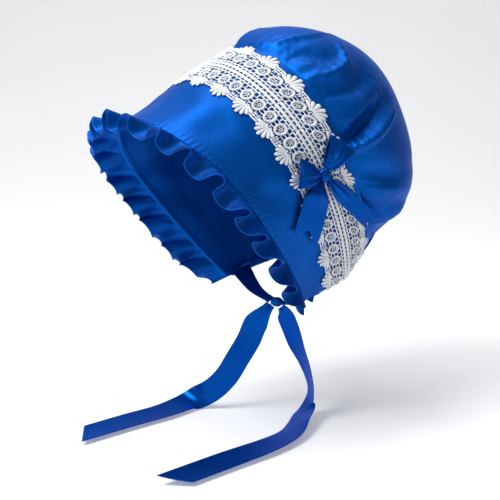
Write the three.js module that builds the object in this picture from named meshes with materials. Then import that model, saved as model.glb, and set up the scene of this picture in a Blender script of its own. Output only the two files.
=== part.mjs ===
// A satin mob cap in its worn pose: a flared brim, a gathered crown, a fluted ruffle along the face
// opening, a pierced lace band, one ribbon bow and two ribbon ties.
// Millimetres, +Z up. The face looks along -Y, and +X is the wearer's left, where the bow sits.
import * as THREE from 'three';

// Face opening, the sewn line of the brim's front edge
const rimWidth = 181;
const rimChord = 126;
const rimHeight = 205;
const rimLean = 39;
const rimWidest = 0.6;

// Lace band, measured on its middle line
const bandWidth = 184;
const bandChord = 112;
const bandHeight = 218;
const bandLean = 29;
const bandWidest = 0.57;
const bandBack = 52;
const bandLift = 14;
const laceWidth = 66;
const laceFans = 20;
const laceThickness = 1.2;
const laceRise = 0.9;
const ringHole = 6.4;
const ladderSlot = 3.4;

// Back edge of the brim, where the crown is gathered on
const seamWidth = 187;
const seamChord = 84;
const seamHeight = 216;
const seamLean = 27.5;
const seamWidest = 0.54;
const seamBack = 73;
const seamLift = 25;

// Cloth
const brimThickness = 2;
const brimHollow = 2;
const crownThickness = 1.4;
const laceToSeam = 1.5;
const ruffleDepth = 25;
const ruffleWaves = 19;
const ruffleSwing = 8.5;
const ruffleThickness = 1;
const ruffleTopFlare = 32;
const ruffleSideFlare = 30;
const ruffleEndShare = 0.55;
const seamGap = 0.3;

// Crown, from its gathered seam to the middle of its back
const crownBack = 138;
const crownMiddle = 128;
const crownHalfWidth = 74;
const crownRise = 104;
const crownSag = 60;
const crownSwell = 0.5;
const crownPuff = 52;
const napeBack = 98;
const napeLift = 32;
const napeStand = 16;

// Ribbon
const ribbonWidth = 22;
const ribbonThickness = 1;
const bowPlace = 0.53;
const bowRibbonWidth = 25;
const bowAhead = 2.8;
const bowTilt = 10;
const bowLoopLength = 29;
const bowLoopSpread = 34;
const bowLoopHeight = 11;
const bowTailLength = 55;
const bowTailNotch = 11;
const bowKnotWidth = 10;
const bowKnotLength = 12;
const bowKnotHeight = 9;
const tieRootBack = 16;
const tieKnotAside = 24;
const tieKnotAhead = 2;
const tieKnotDrop = 7;
const tieKnotWidth = 12;
const tieKnotHeight = 9;
const tieEndSlant = 9;
const tailDrop = 99;
const tailReach = 172;
const tailSpread = 80;

// Facets
const crownRows = 12;
const napeSteps = 10;
const waveSteps = 8;
const ribbonSteps = 20;

const satin = { color: 0x0b55c4, roughness: 0.34, metalness: 0 };
const darkSatin = { color: 0x0a49ad, roughness: 0.36, metalness: 0 };
const cotton = { color: 0xf1f3f6, roughness: 0.85, metalness: 0 };

const radians = THREE.MathUtils.degToRad;
const smooth = THREE.MathUtils.smoothstep;
const mix = THREE.MathUtils.lerp;
const vector = (x, y, z) => new THREE.Vector3(x, y, z);
const along = (start, direction, distance) => start.clone().addScaledVector(direction, distance);

const rim = {
  width: rimWidth, chord: rimChord, height: rimHeight,
  lean: rimLean, widest: rimWidest, back: 0, lift: 0,
};
const band = {
  width: bandWidth, chord: bandChord, height: bandHeight,
  lean: bandLean, widest: bandWidest, back: bandBack, lift: bandLift,
};
const seam = {
  width: seamWidth, chord: seamChord, height: seamHeight,
  lean: seamLean, widest: seamWidest, back: seamBack, lift: seamLift,
};

// A horseshoe arch: a two-part oval cut off by its chord at the neck and leaning towards the face.
// share runs from -1 at the wearer's right corner, over the top, to 1 at the left corner.
function archPoint(arch, share) {
  const end = Math.PI - Math.asin(arch.chord / arch.width);
  const turn = share * end;
  const low = arch.height * arch.widest;
  const high = arch.height - low;
  const radius = Math.cos(turn) > 0 ? high : low / -Math.cos(end);
  const rise = low + radius * Math.cos(turn);
  const lean = radians(arch.lean);
  return vector(
    arch.width / 2 * Math.sin(turn),
    arch.back - rise * Math.sin(lean),
    arch.lift + rise * Math.cos(lean),
  );
}

// Shares that cut a curve over -1..1 into steps of equal length
function evenShares(point, steps) {
  const fine = steps * 20;
  const lengths = [0];
  for (let i = 1; i <= fine; i++) {
    const step = point(2 * i / fine - 1).distanceTo(point(2 * (i - 1) / fine - 1));
    lengths.push(lengths[i - 1] + step);
  }
  const shares = [];
  for (let k = 0; k <= steps; k++) {
    const wanted = lengths[fine] * k / steps;
    let i = 1;
    while (i < fine && lengths[i] < wanted) i++;
    const part = (wanted - lengths[i - 1]) / (lengths[i] - lengths[i - 1]);
    shares.push(2 * (i - 1 + part) / fine - 1);
  }
  return shares;
}

// One line of the brim's cloth: straight from the rim to the band's middle, where it bends, and
// straight on from there to the crown seam
function ruling(share) {
  const middle = archPoint(band, share);
  const toRim = archPoint(rim, share).sub(middle);
  const forward = toRim.clone().normalize();
  const backward = archPoint(seam, share).sub(middle).normalize();
  const nudge = 0.01;
  const ahead = archPoint(band, Math.min(share + nudge, 1));
  const tangent = ahead.sub(archPoint(band, Math.max(share - nudge, -1))).normalize();
  const frontNormal = forward.clone().cross(tangent).normalize();
  const backNormal = tangent.clone().cross(backward).normalize();
  const both = frontNormal.clone().add(backNormal).normalize();
  const middleNormal = both.divideScalar(both.dot(frontNormal));
  return { middle, forward, backward, tangent, frontNormal, backNormal, middleNormal, length: toRim.length() };
}

const halfFans = laceFans * 2;
const laceHalf = laceWidth / 2;
const seamAcross = laceHalf + laceToSeam;
const columns = evenShares((share) => archPoint(band, share), halfFans).map(ruling);

// The brim is slightly hollow between the rim and the lace
function hollow(line, across) {
  const room = line.length - laceHalf;
  const place = (-across - laceHalf) / room;
  if (place <= 0 || place >= 1) return 0;
  return brimHollow * Math.sin(Math.PI * place) ** 2 * smooth(room, 0, laceWidth);
}

// Point over one line of the brim's cloth: across is measured from the band's middle and is negative
// towards the rim, and height stands off the outer face
function linePoint(line, across, height) {
  if (across === 0) return along(line.middle, line.middleNormal, height);
  if (across > 0) return along(along(line.middle, line.backward, across), line.backNormal, height);
  return along(along(line.middle, line.forward, -across), line.frontNormal, height - hollow(line, across));
}

// The same at any place along the band, which counts half fans, with flat cloth between two lines
function clothPoint(place, across, height) {
  const index = Math.min(Math.floor(place), halfFans - 1);
  const start = linePoint(columns[index], across, height);
  return start.lerp(linePoint(columns[index + 1], across, height), place - index);
}

function meshOf(name, points, faces, look) {
  const geometry = new THREE.BufferGeometry();
  geometry.setAttribute('position', new THREE.Float32BufferAttribute(points.flatMap((p) => p.toArray()), 3));
  let volume = 0;
  for (const [a, b, c] of faces) {
    volume += points[a].dot(points[b].clone().cross(points[c]));
  }
  const outward = volume > 0 ? faces : faces.map(([a, b, c]) => [a, c, b]);
  geometry.setIndex(outward.flat());
  geometry.computeVertexNormals();
  const mesh = new THREE.Mesh(geometry, new THREE.MeshStandardMaterial(look));
  mesh.name = name;
  return mesh;
}

// A closed sheet of cloth between two faces, each a table of points by row and column.
// round joins the last column to the first, and pole closes the last row to one point.
function clothBody(name, outer, inner, look, { round = false, pole = false } = {}) {
  const rows = outer.length;
  const wide = outer[0].length;
  const points = [];
  const index = [outer, inner].map((face) => face.map((row, r) => {
    if (pole && r === rows - 1) {
      points.push(row[0]);
      return row.map(() => points.length - 1);
    }
    return row.map((point) => points.push(point) - 1);
  }));
  const faces = [];
  const quad = (a, b, c, d) => {
    if (a !== b && b !== c && a !== c) faces.push([a, b, c]);
    if (a !== c && c !== d && a !== d) faces.push([a, c, d]);
  };
  const steps = round ? wide : wide - 1;
  const [top, bottom] = index;
  for (let c = 0; c < steps; c++) {
    const next = (c + 1) % wide;
    for (let r = 0; r < rows - 1; r++) {
      quad(top[r][c], top[r][next], top[r + 1][next], top[r + 1][c]);
      quad(bottom[r][c], bottom[r + 1][c], bottom[r + 1][next], bottom[r][next]);
    }
    quad(bottom[0][c], bottom[0][next], top[0][next], top[0][c]);
    if (!pole) quad(top[rows - 1][c], top[rows - 1][next], bottom[rows - 1][next], bottom[rows - 1][c]);
  }
  if (!round) {
    for (let r = 0; r < rows - 1; r++) {
      quad(top[r][0], top[r + 1][0], bottom[r + 1][0], bottom[r][0]);
      quad(bottom[r][wide - 1], bottom[r + 1][wide - 1], top[r + 1][wide - 1], top[r][wide - 1]);
    }
  }
  return meshOf(name, points, faces, look);
}

// Both faces of a cloth from its middle surface, by the surface's own normals
function thicken(middle, thickness, round = false) {
  const rows = middle.length;
  const wide = middle[0].length;
  const faces = [[], []];
  for (let r = 0; r < rows; r++) {
    for (const face of faces) face.push([]);
    for (let c = 0; c < wide; c++) {
      const left = round ? (c + wide - 1) % wide : Math.max(c - 1, 0);
      const right = round ? (c + 1) % wide : Math.min(c + 1, wide - 1);
      const aside = middle[r][right].clone().sub(middle[r][left]);
      const up = middle[Math.min(r + 1, rows - 1)][c].clone().sub(middle[Math.max(r - 1, 0)][c]);
      const normal = aside.cross(up).normalize();
      faces[0][r].push(along(middle[r][c], normal, thickness / 2));
      faces[1][r].push(along(middle[r][c], normal, -thickness / 2));
    }
  }
  return faces;
}

function makeBrim() {
  const places = [
    (line) => -line.length,
    (line) => mix(-line.length, -laceHalf, 0.33),
    (line) => mix(-line.length, -laceHalf, 0.67),
    () => -laceHalf,
    () => -laceHalf / 2,
    () => 0,
    () => laceHalf / 2,
    () => seamAcross,
  ];
  const face = (height) => places.map((place) => columns.map((line) => linePoint(line, place(line), height)));
  return clothBody('brim', face(0), face(-brimThickness), satin);
}

// One half of a lace fan, from the middle of its tip petal at 0 to the dip beside it at 1.
// across is a share of half the lace's width.
const petalEdge = [
  { place: 0.00, across: 1.00 },
  { place: 0.13, across: 1.00 },
  { place: 0.20, across: 0.89 },
  { place: 0.36, across: 0.97 },
  { place: 0.50, across: 0.85 },
  { place: 0.70, across: 0.83 },
  { place: 1.00, across: 0.70 },
];
const ringPlace = { place: 0.5, across: 0.45 };
const ladderPlace = { place: 0.26, across: 0.14 };
const ringSides = 6;

// One quarter of a lace fan's pattern on one side of the band's middle, as a flat pierced plate
function laceTile() {
  const bandLength = columns.slice(1).reduce((sum, line, k) => sum + line.middle.distanceTo(columns[k].middle), 0);
  const tileLength = bandLength / halfFans;
  const low = ladderPlace.across * laceHalf - ladderSlot / 2;
  const high = low + ladderSlot;
  const outline = [
    [0, 0], [0, low], [ladderPlace.place, low], [ladderPlace.place, high], [0, high],
    ...petalEdge.map(({ place, across }) => [place, across * laceHalf]),
    [1, 0],
  ].map(([x, y]) => new THREE.Vector2(x, y)).reverse();
  const ring = Array.from({ length: ringSides }, (_, i) => {
    const turn = 2 * Math.PI * (i + 0.5) / ringSides;
    return new THREE.Vector2(
      ringPlace.place + ringHole / 2 * Math.cos(turn) / tileLength,
      ringPlace.across * laceHalf + ringHole / 2 * Math.sin(turn),
    );
  }).reverse();
  return { outline, ring, faces: THREE.ShapeUtils.triangulateShape(outline, [ring]) };
}

// The lace is one pierced solid of mirrored quarters that share the points of their common edges
function makeLace() {
  const { outline, ring, faces } = laceTile();
  const flat = [...outline, ...ring];
  const points = [];
  const known = new Map();
  const indexOf = (place, across, height) => {
    const key = [place, across, height].map((value) => value.toFixed(4)).join();
    if (!known.has(key)) known.set(key, points.push(clothPoint(place, across, height)) - 1);
    return known.get(key);
  };
  const low = laceRise;
  const high = laceRise + laceThickness;
  const solidFaces = [];
  for (let tile = 0; tile < halfFans; tile++) {
    const isEnd = tile === 0 || tile === halfFans - 1;
    const placeOf = (x) => (tile % 2 ? tile + x : tile + 1 - x);
    for (const side of [-1, 1]) {
      const at = (point, height) => indexOf(placeOf(point.x), side * point.y || 0, height);
      const mirrored = (tile % 2 ? 1 : -1) * side < 0;
      const add = (face) => solidFaces.push(mirrored ? face.reverse() : face);
      for (const [a, b, c] of faces) {
        add([at(flat[a], high), at(flat[b], high), at(flat[c], high)]);
        add([at(flat[c], low), at(flat[b], low), at(flat[a], low)]);
      }
      for (const loop of [outline, ring]) {
        loop.forEach((point, i) => {
          const next = loop[(i + 1) % loop.length];
          const shared = (point.x === 0 && next.x === 0) || (point.y === 0 && next.y === 0)
            || (point.x === 1 && next.x === 1 && !isEnd);
          if (shared) return;
          add([at(point, low), at(next, low), at(next, high)]);
          add([at(point, low), at(next, high), at(point, high)]);
        });
      }
    }
  }
  return meshOf('lace_band', points, solidFaces, cotton);
}

// Folds of the crown. place is the share of the way round the seam from -1 at the wearer's right corner
// to 1 at the left, start and end are shares of the way from the seam to the middle of the back, drift
// is how far the fold wanders sideways over its length, and depth is a share of crownPuff.
const crownFolds = [
  { place: 0.10, drift: 0.10, width: 0.060, start: 0.05, end: 0.55, depth: -0.10 },
  { place: 0.26, drift: -0.06, width: 0.055, start: 0.05, end: 0.50, depth: -0.13 },
  { place: 0.44, drift: -0.10, width: 0.065, start: 0.04, end: 0.72, depth: -0.17 },
  { place: 0.62, drift: 0.06, width: 0.060, start: 0.20, end: 0.80, depth: -0.10 },
  { place: 0.80, drift: -0.05, width: 0.050, start: 0.05, end: 0.60, depth: -0.08 },
  { place: -0.08, drift: -0.06, width: 0.055, start: 0.05, end: 0.50, depth: -0.10 },
  { place: -0.24, drift: 0.05, width: 0.060, start: 0.05, end: 0.55, depth: -0.12 },
  { place: -0.43, drift: 0.08, width: 0.060, start: 0.04, end: 0.68, depth: -0.15 },
  { place: -0.60, drift: -0.06, width: 0.055, start: 0.15, end: 0.75, depth: -0.10 },
  { place: -0.78, drift: 0.05, width: 0.050, start: 0.05, end: 0.60, depth: -0.08 },
];
const gatherSwing = 0.03;

function foldDepth(place, rise) {
  let depth = 0;
  for (const fold of crownFolds) {
    const part = (rise - fold.start) / (fold.end - fold.start);
    if (part <= 0 || part >= 1) continue;
    const offset = (place - fold.place - fold.drift * part) / fold.width;
    depth += fold.depth * Math.sin(Math.PI * part) ** 0.8 * Math.exp(-offset * offset);
  }
  return depth * crownPuff;
}

// Where each line of the crown starts, which way it leaves, and its share of the way round
function crownStarts() {
  const starts = columns.map((line, k) => {
    const share = 2 * k / halfFans - 1;
    const tuck = vector(-0.8 * Math.sign(share), 0.55, 0.25);
    const bend = smooth(Math.abs(share), 0.72, 0.96);
    const clear = seamGap + crownThickness / 2 * Math.max(bend, crownSwell);
    const start = linePoint(line, seamAcross + clear, -crownThickness / 2);
    const leave = along(line.backward, line.backNormal, crownSwell).normalize().lerp(tuck, bend).normalize();
    return { start, leave, place: share, nape: bend };
  });
  const corner = starts[starts.length - 1];
  for (let k = 1; k < napeSteps; k++) {
    const turn = Math.PI / 2 * (1 - 2 * k / napeSteps);
    const inward = Math.cos(turn);
    const start = vector(
      corner.start.x * Math.sin(turn),
      mix(corner.start.y, napeBack, inward),
      mix(corner.start.z, napeLift, inward),
    );
    const leave = vector(0.5 * Math.sin(turn), 0.5, 0.7).normalize();
    starts.push({ start, leave, place: 1 + (k / napeSteps), nape: 1 });
  }
  return starts;
}

function makeCrown() {
  const centre = vector(0, crownBack, crownMiddle);
  const lines = crownStarts().map(({ start, leave, place, nape }, k) => {
    const turn = Math.atan2(start.z - crownMiddle, start.x);
    const reach = turn > 0 ? crownRise : crownSag;
    const shoulder = vector(crownHalfWidth * Math.cos(turn), 0, reach * Math.sin(turn)).add(centre);
    const first = mix(crownPuff, napeStand, nape);
    const curve = new THREE.CubicBezierCurve3(start, along(start, leave, first), shoulder, centre);
    const points = [];
    for (let r = 0; r <= crownRows; r++) points.push(curve.getPoint((r / crownRows) ** 1.1));
    return { points, place, gather: k % 2 ? 1 : -1 };
  });
  const bare = [];
  for (let r = 0; r <= crownRows; r++) bare.push(lines.map((line) => line.points[r]));
  const [normals] = thicken(bare, 2, true);
  const middle = bare.map((row, r) => row.map((point, c) => {
    const rise = r / crownRows;
    const normal = normals[r][c].clone().sub(point);
    const outward = normal.dot(point.clone().sub(vector(0, 0, crownMiddle))) > 0 ? 1 : -1;
    const gather = lines[c].gather * gatherSwing * crownPuff * smooth(rise, 0.05, 0.18) * (1 - smooth(rise, 0.2, 0.5));
    const depth = r < crownRows ? foldDepth(lines[c].place, rise) + gather : 0;
    return along(point, normal, depth * outward);
  }));
  const [outer, inner] = thicken(middle, crownThickness, true);
  return clothBody('crown', outer, inner, satin, { round: true, pole: true });
}

// The ruffle: flutes that grow from the sewn line to the free edge and lean over each other
const ruffleRows = [0, 0.45, 1];
const fluteLean = 0.14;

function makeRuffle() {
  const shares = evenShares((share) => archPoint(rim, share), ruffleWaves * waveSteps);
  const fluteLength = archLength(rim) / ruffleWaves;
  const middle = ruffleRows.map((depth) => shares.map((share, k) => {
    const line = ruling(share);
    const turn = 2 * Math.PI * k / waveSteps;
    const flare = radians(mix(ruffleTopFlare, ruffleSideFlare, smooth(Math.abs(share), 0, 0.4)));
    const way = line.forward.clone().multiplyScalar(Math.cos(flare)).addScaledVector(line.frontNormal, Math.sin(flare));
    const face = line.frontNormal.clone().multiplyScalar(Math.cos(flare)).addScaledVector(line.forward, -Math.sin(flare));
    const clear = seamGap + ruffleThickness / 2 * Math.sin(flare);
    const root = linePoint(line, -line.length - clear, -ruffleThickness);
    const swing = ruffleSwing * depth ** 0.7 * Math.sin(turn);
    const lean = -fluteLean * fluteLength * depth * Math.sin(2 * turn);
    const full = mix(ruffleEndShare, 1, smooth(1 - Math.abs(share), 0, 0.1));
    return along(along(along(root, way, depth * full * ruffleDepth), face, swing * full), line.tangent, lean);
  }));
  const [outer, inner] = thicken(middle, ruffleThickness);
  return clothBody('brim_ruffle', outer, inner, satin);
}

function archLength(arch) {
  let length = 0;
  const pieces = 200;
  for (let i = 0; i < pieces; i++) {
    length += archPoint(arch, 2 * i / pieces - 1).distanceTo(archPoint(arch, 2 * (i + 1) / pieces - 1));
  }
  return length;
}

// A ribbon from rows of points across its width
function ribbonBody(name, rows, look) {
  const [outer, inner] = thicken(rows, ribbonThickness);
  return clothBody(name, outer, inner, look);
}

const ribbonRow = (centre, across, width) => [-1, 1].map((side) => along(centre, across, side * width / 2));

// Tails of the bow. heading is the turn in degrees from straight down the bow towards the face, stretch
// the share of bowTailLength, root the start as a share of bowKnotLength, lift how many thicknesses of
// ribbon the end stands off and slant how far its front corner runs on, as a share of bowTailNotch.
const bowTails = [
  { name: 'bow_front_tail', heading: 26, stretch: 1.12, root: 0.46, lift: 1, slant: -0.27 },
  { name: 'bow_back_tail', heading: -46, stretch: 1.10, root: 0.38, lift: 3, slant: 0.18 },
];

// A rounded knot: a barrel squeezed to its three sizes
function knotBody(name, length, width, height, look) {
  const rings = 6;
  const sides = 8;
  const points = [vector(-length / 2, 0, 0)];
  for (let r = 1; r < rings; r++) {
    const turn = Math.PI * r / rings;
    for (let s = 0; s < sides; s++) {
      const round = 2 * Math.PI * s / sides;
      const swell = Math.sin(turn) ** 0.6;
      points.push(vector(
        -length / 2 * Math.cos(turn), width / 2 * swell * Math.cos(round), height / 2 * swell * Math.sin(round),
      ));
    }
  }
  points.push(vector(length / 2, 0, 0));
  const at = (r, s) => 1 + (r - 1) * sides + s % sides;
  const faces = [];
  for (let s = 0; s < sides; s++) {
    faces.push([0, at(1, s + 1), at(1, s)]);
    for (let r = 1; r < rings - 1; r++) {
      faces.push([at(r, s), at(r, s + 1), at(r + 1, s + 1)], [at(r, s), at(r + 1, s + 1), at(r + 1, s)]);
    }
    faces.push([at(rings - 1, s), at(rings - 1, s + 1), points.length - 1]);
  }
  return meshOf(name, points, faces, look);
}

// The bow lies on the lace at the wearer's left. Its own frame has x towards the face, y down along
// the band, both turned by bowTilt, and z away from the head.
function makeBow() {
  const column = Math.round((bowPlace + 1) / 2 * halfFans);
  const line = columns[column];
  const seat = linePoint(line, -bowAhead, laceRise + laceThickness + seamGap);
  const normal = line.middleNormal.clone().normalize();
  const down = line.tangent;
  const forward = down.clone().cross(normal).normalize();
  const tilt = radians(bowTilt);
  const aside = forward.clone().multiplyScalar(Math.cos(tilt)).addScaledVector(down, -Math.sin(tilt));
  const under = normal.clone().cross(aside).normalize();
  const loops = new THREE.Group();
  loops.matrixAutoUpdate = false;
  loops.matrix.makeBasis(aside, under, normal).setPosition(seat);

  const knot = knotBody('bow_knot', bowKnotLength, bowKnotWidth, bowKnotHeight, satin);
  knot.rotation.z = Math.PI / 2;
  knot.position.z = bowKnotHeight / 2;
  loops.add(knot);

  const pinch = bowKnotWidth / 2 + seamGap * 2;
  const bends = 14;
  for (const [name, side] of [['bow_front_loop', 1], ['bow_back_loop', -1]]) {
    const spread = radians(bowLoopSpread);
    const way = vector(side * Math.cos(spread), -Math.sin(spread), 0);
    const across = vector(side * Math.sin(spread), Math.cos(spread), 0);
    const rows = [];
    for (let i = 0; i <= bends; i++) {
      const turn = 2 * Math.PI * (i + 0.5) / (bends + 1);
      const out = (1 - Math.cos(turn)) / 2;
      const swell = mix(0.5, 1, smooth(out, 0, 0.5));
      const centre = along(vector(0, 0, 0), way, mix(pinch, bowLoopLength, out));
      centre.z = ribbonThickness + bowLoopHeight / 2 * (1 - swell * Math.sin(turn));
      rows.push(ribbonRow(centre, across, mix(bowKnotLength * 0.6, bowRibbonWidth, out)));
    }
    loops.add(ribbonBody(name, rows, satin));
  }

  const bow = new THREE.Group();
  bow.add(loops);
  const fanHalf = archLength(band) / halfFans;
  const restHeight = laceRise + laceThickness + seamGap + ribbonThickness;
  const pieces = 8;
  for (const { name, heading, stretch, root, lift, slant } of bowTails) {
    const way = { down: Math.cos(radians(heading + bowTilt)), ahead: Math.sin(radians(heading + bowTilt)) };
    const length = bowTailLength * stretch;
    const uncut = 1 - 1.4 * bowTailNotch / length;
    const rows = [];
    for (let i = 0; i <= pieces; i++) {
      const out = i < pieces ? uncut * i / (pieces - 1) : 1;
      const half = mix(bowKnotLength * 0.6, bowRibbonWidth, smooth(out, 0, 0.35)) / 2;
      rows.push([-1, 0, 1].map((side) => {
        const cut = i < pieces ? 0 : bowTailNotch * (side * slant - (side === 0 ? 1 : 0));
        const reach = bowKnotLength * root + out * length + cut;
        const sunk = reach * way.down - side * half * way.ahead;
        const ahead = bowAhead + reach * way.ahead + side * half * way.down;
        const overCrown = Math.max(0, -ahead - seamAcross) * crownSwell;
        const stand = ribbonThickness * (Math.sin(Math.PI * out) + lift * smooth(out, 0.3, 1));
        return clothPoint(column + sunk / fanHalf, -ahead, restHeight + overCrown + stand);
      }));
    }
    bow.add(ribbonBody(name, rows, satin));
  }
  return bow;
}

// Routes of the tie ends from the knot to their cut ends, which lie on the ground under the cap.
// aside is a share of tailSpread, ahead of tailReach and drop of tailDrop. facing is the plan angle of
// the ribbon's width and tilt its slope, both in degrees.
const rightTail = [
  { aside: 0.00, ahead: 0.00, drop: 0.00, facing: 56, tilt: 37 },
  { aside: -0.10, ahead: 0.06, drop: 0.18, facing: 56, tilt: 32 },
  { aside: -0.16, ahead: 0.09, drop: 0.35, facing: 56, tilt: 27 },
  { aside: -0.25, ahead: 0.13, drop: 0.53, facing: 56, tilt: 31 },
  { aside: -0.37, ahead: 0.17, drop: 0.73, facing: 54, tilt: 38 },
  { aside: -0.50, ahead: 0.23, drop: 0.88, facing: 46, tilt: 40 },
  { aside: -0.65, ahead: 0.32, drop: 0.98, facing: 22, tilt: 22 },
  { aside: -0.57, ahead: 0.50, drop: 1.00, facing: 3, tilt: 12 },
  { aside: -0.50, ahead: 0.72, drop: 1.00, facing: 0, tilt: 11 },
  { aside: -0.39, ahead: 1.01, drop: 1.00, facing: 0, tilt: 10 },
];
const leftTail = [
  { aside: 0.00, ahead: 0.00, drop: 0.00, facing: 14, tilt: 0 },
  { aside: 0.05, ahead: -0.01, drop: 0.06, facing: 14, tilt: 0 },
  { aside: 0.11, ahead: -0.03, drop: 0.20, facing: 12, tilt: 0 },
  { aside: 0.17, ahead: -0.05, drop: 0.37, facing: 5, tilt: 0 },
  { aside: 0.23, ahead: -0.08, drop: 0.54, facing: -8, tilt: 0 },
  { aside: 0.28, ahead: -0.10, drop: 0.72, facing: -20, tilt: 0 },
  { aside: 0.29, ahead: -0.10, drop: 0.85, facing: -24, tilt: 0 },
  { aside: 0.32, ahead: -0.06, drop: 0.95, facing: -10, tilt: -10 },
  { aside: 0.52, ahead: 0.05, drop: 0.98, facing: 30, tilt: -20 },
  { aside: 0.76, ahead: 0.19, drop: 1.00, facing: 28, tilt: -4 },
  { aside: 0.91, ahead: 0.37, drop: 1.00, facing: 18, tilt: 6 },
  { aside: 1.02, ahead: 0.63, drop: 1.00, facing: 11, tilt: 12 },
  { aside: 1.16, ahead: 0.96, drop: 1.00, facing: 9, tilt: 12 },
];

function tailRows(table, start, ground, slant) {
  const curve = new THREE.CatmullRomCurve3(table.map(({ aside, ahead, drop }) => vector(
    start.x + aside * tailSpread, start.y - ahead * tailReach, mix(start.z, ground, drop),
  )), false, 'centripetal');
  const rows = [];
  for (let i = 0; i <= ribbonSteps; i++) {
    const place = i / ribbonSteps * (table.length - 1);
    const k = Math.min(Math.floor(place), table.length - 2);
    const part = place - k;
    const facing = radians(mix(table[k].facing, table[k + 1].facing, part));
    const tilt = radians(mix(table[k].tilt, table[k + 1].tilt, part));
    const onward = curve.getTangent(i / ribbonSteps);
    const across = vector(
      Math.cos(facing) * Math.cos(tilt), Math.sin(facing) * Math.cos(tilt), -Math.sin(tilt),
    );
    across.addScaledVector(onward, -across.dot(onward)).normalize();
    const width = mix(tieKnotHeight, ribbonWidth, smooth(i / ribbonSteps, 0, 0.12));
    const row = ribbonRow(curve.getPoint(i / ribbonSteps), across, width);
    if (i === ribbonSteps) row.forEach((point, side) => point.addScaledVector(onward, side ? slant : -slant));
    rows.push(row);
  }
  return rows;
}

function makeTies() {
  const corner = archPoint(rim, 1);
  const knotPlace = vector(tieKnotAside, corner.y - tieKnotAhead, corner.z - tieKnotDrop);
  const ties = new THREE.Group();
  const knot = knotBody('tie_knot', tieKnotWidth, tieKnotHeight, tieKnotHeight, darkSatin);
  knot.position.copy(knotPlace);
  ties.add(knot);

  const rootAcross = tieRootBack - columns[halfFans].length;
  const inside = -brimThickness - seamGap - ribbonThickness;
  const sewn = [0.5, 0.25, 0].map((above) => (
    clothPoint(halfFans - above, rootAcross, inside - ribbonThickness * (0.5 - above))
  ));
  const pieces = 12;
  for (const [name, side] of [['tie_right', -1], ['tie_left', 1]]) {
    const root = sewn.map((point) => vector(side * point.x, point.y, point.z));
    const end = along(knotPlace, vector(side, 0, 0), tieKnotWidth / 2 + seamGap + ribbonThickness / 2);
    const sag = vector(mix(root[2].x, end.x, 0.5), mix(root[2].y, end.y, 0.6), mix(root[2].z, end.z, 0.75));
    const curve = new THREE.CatmullRomCurve3([...root, sag, end]);
    const rows = [];
    for (let i = 0; i <= pieces; i++) {
      const onward = curve.getTangent(i / pieces);
      const rooted = columns[halfFans].forward;
      const across = vector(-side * rooted.x, -rooted.y, -rooted.z).lerp(vector(0, 1, 0.25), smooth(i / pieces, 0.3, 1));
      across.addScaledVector(onward, -across.dot(onward)).normalize();
      const width = mix(ribbonWidth, tieKnotHeight, smooth(i / pieces, 0.3, 1));
      rows.push(ribbonRow(curve.getPoint(i / pieces), across, width));
    }
    ties.add(ribbonBody(name, rows, satin));
  }

  const halfHeight = tieKnotHeight / 2;
  const tails = [
    { name: 'tie_right_tail', table: rightTail, leaves: vector(-0.7, -0.95, -0.55), slant: tieEndSlant },
    { name: 'tie_left_tail', table: leftTail, leaves: vector(0.6, 0.4, -1), slant: -tieEndSlant },
  ];
  for (const { name, table, leaves, slant } of tails) {
    const start = along(along(knotPlace, leaves, halfHeight), leaves.clone().normalize(), seamGap);
    ties.add(ribbonBody(name, tailRows(table, start, knotPlace.z - tailDrop, slant), darkSatin));
  }
  return ties;
}

// The head's crown touches the cap's inside at the top of the crown seam, which is the origin
const topLine = columns[laceFans];
const headSeat = linePoint(topLine, seamAcross, -brimThickness);

const cap = new THREE.Group();
cap.add(makeBrim(), makeLace(), makeCrown(), makeRuffle(), makeBow(), makeTies());
cap.position.copy(headSeat).negate();

export default cap;
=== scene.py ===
# A satin mob cap in its worn pose: a flared brim, a gathered crown, a fluted ruffle, a lace band worked
# from its own threads, one ribbon bow and two ribbon ties.
import math

import bpy
import numpy as np
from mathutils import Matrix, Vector


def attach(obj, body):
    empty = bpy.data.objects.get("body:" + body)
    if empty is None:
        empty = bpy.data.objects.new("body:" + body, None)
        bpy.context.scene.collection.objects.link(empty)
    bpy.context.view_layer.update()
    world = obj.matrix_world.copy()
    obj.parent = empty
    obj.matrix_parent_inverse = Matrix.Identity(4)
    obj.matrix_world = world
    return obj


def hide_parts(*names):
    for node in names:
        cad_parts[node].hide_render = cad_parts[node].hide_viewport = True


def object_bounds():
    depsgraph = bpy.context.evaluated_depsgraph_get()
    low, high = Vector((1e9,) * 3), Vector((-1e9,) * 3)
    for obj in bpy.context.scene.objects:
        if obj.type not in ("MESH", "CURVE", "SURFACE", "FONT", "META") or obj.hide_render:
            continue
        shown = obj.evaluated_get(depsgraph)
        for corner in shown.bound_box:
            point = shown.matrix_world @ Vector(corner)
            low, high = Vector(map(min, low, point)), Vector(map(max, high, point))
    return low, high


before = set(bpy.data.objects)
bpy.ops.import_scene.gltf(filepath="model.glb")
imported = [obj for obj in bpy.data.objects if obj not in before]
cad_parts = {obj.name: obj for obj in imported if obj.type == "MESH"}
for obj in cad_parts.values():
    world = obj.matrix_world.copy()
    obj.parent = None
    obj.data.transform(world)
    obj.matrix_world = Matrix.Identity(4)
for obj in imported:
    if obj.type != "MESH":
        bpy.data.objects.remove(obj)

CAD_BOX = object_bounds()

FULL_TURN = 2 * math.pi

# Sizes in millimetres. The face looks along -Y, +X is the wearer's left and +Z is up.

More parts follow.
